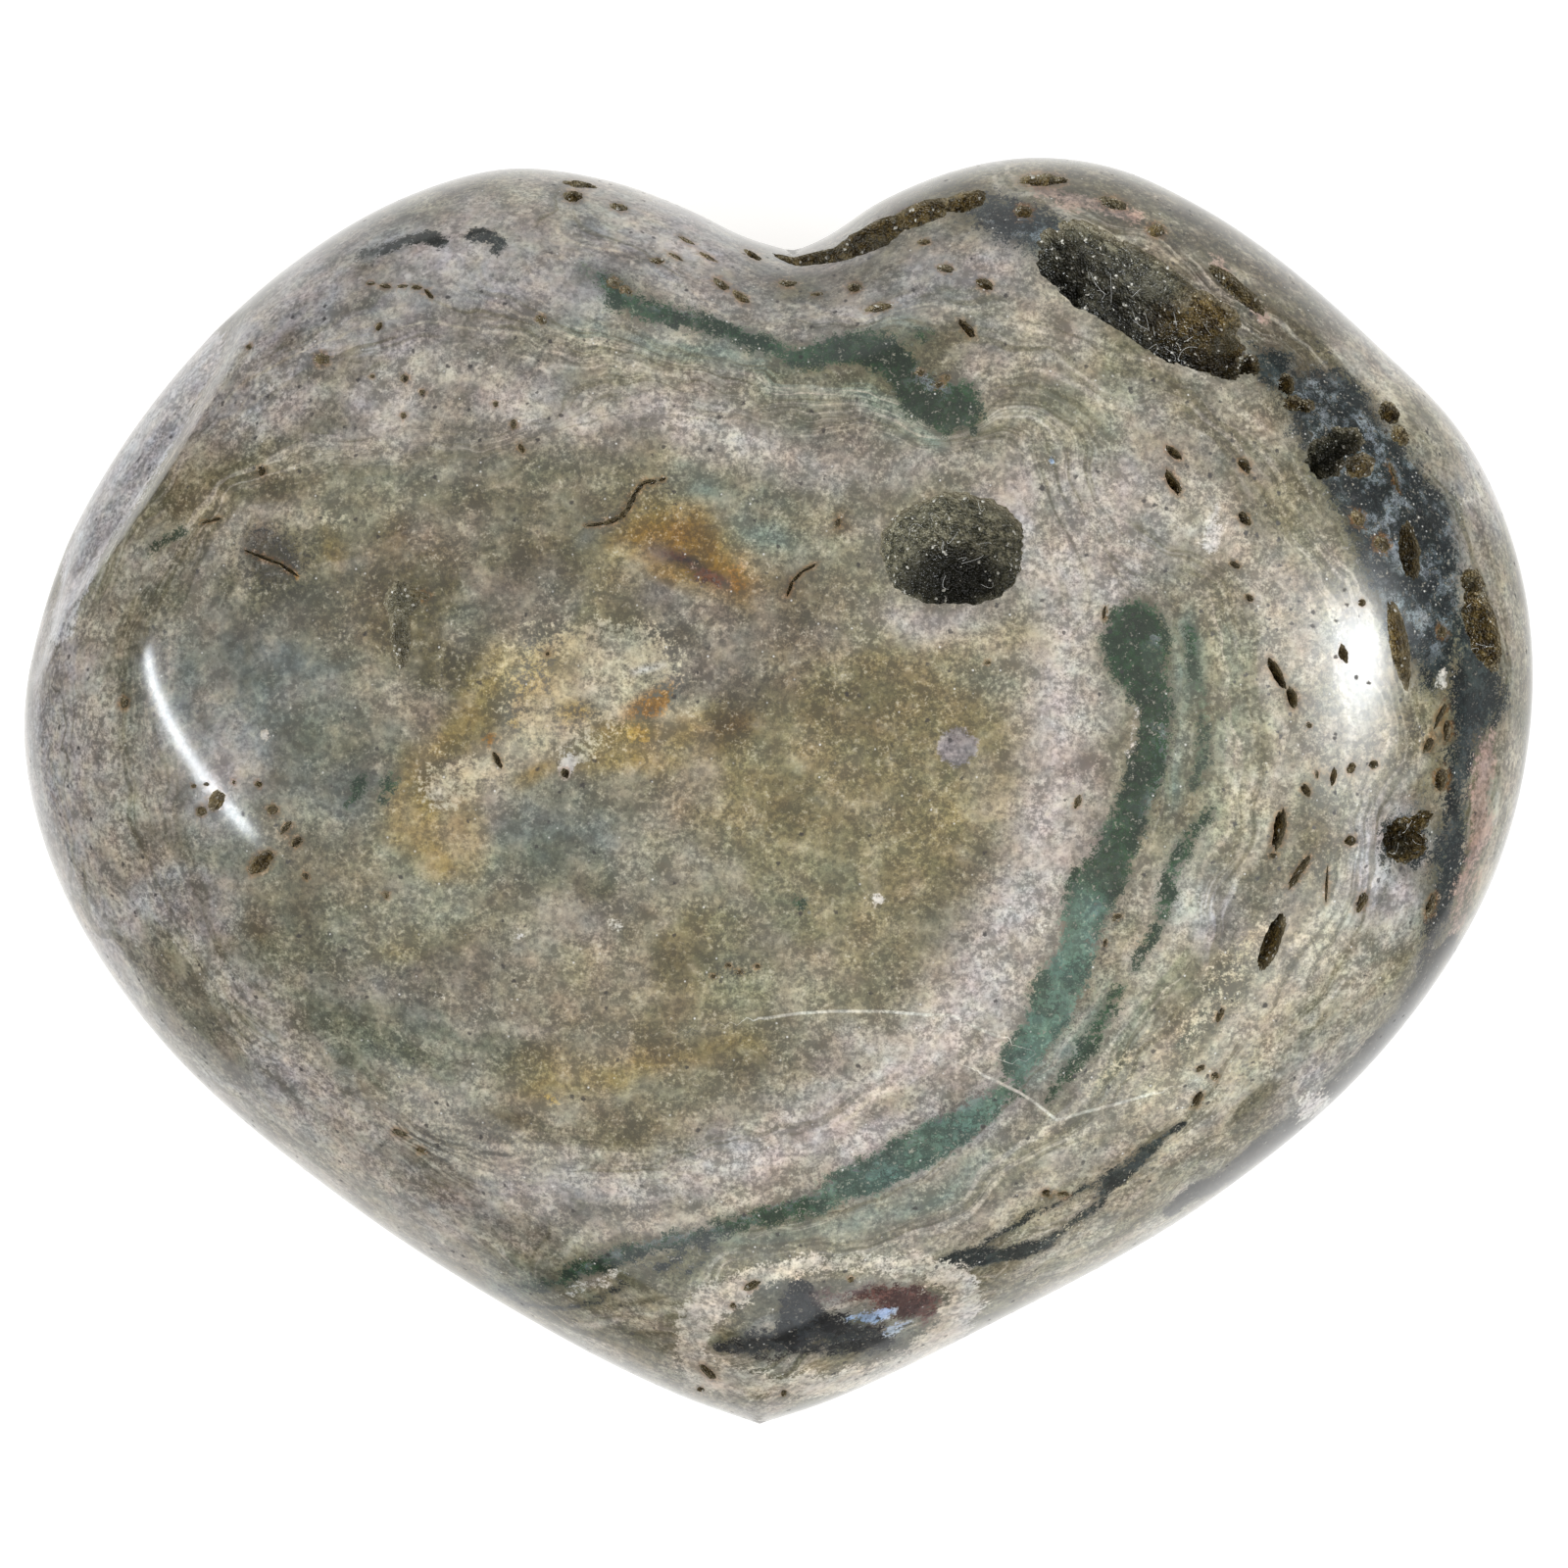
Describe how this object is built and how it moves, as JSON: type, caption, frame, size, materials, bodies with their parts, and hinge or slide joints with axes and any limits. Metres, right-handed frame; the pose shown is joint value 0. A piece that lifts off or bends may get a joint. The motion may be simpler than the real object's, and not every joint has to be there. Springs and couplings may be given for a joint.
{
  "type": "polished heart palm stone",
  "caption": "Puffy heart of polished green-grey orbicular jasper with crystal-lined hollows, held in the palm or set down on its small flat spot",
  "frame": {"origin": "middle of the bounding box at its lowest level, on the flat spot the stone rests on", "axes": "+X across both lobes, +Y from the tip towards the cleft, +Z out of the front face, which looks up"},
  "size_m": [0.08, 0.0672, 0.0348],
  "materials": {
    "polished_jasper": "polished"
  },
  "bodies": {
    "root": {"heart_stone": "polished_jasper"}
  },
  "joints": []
}
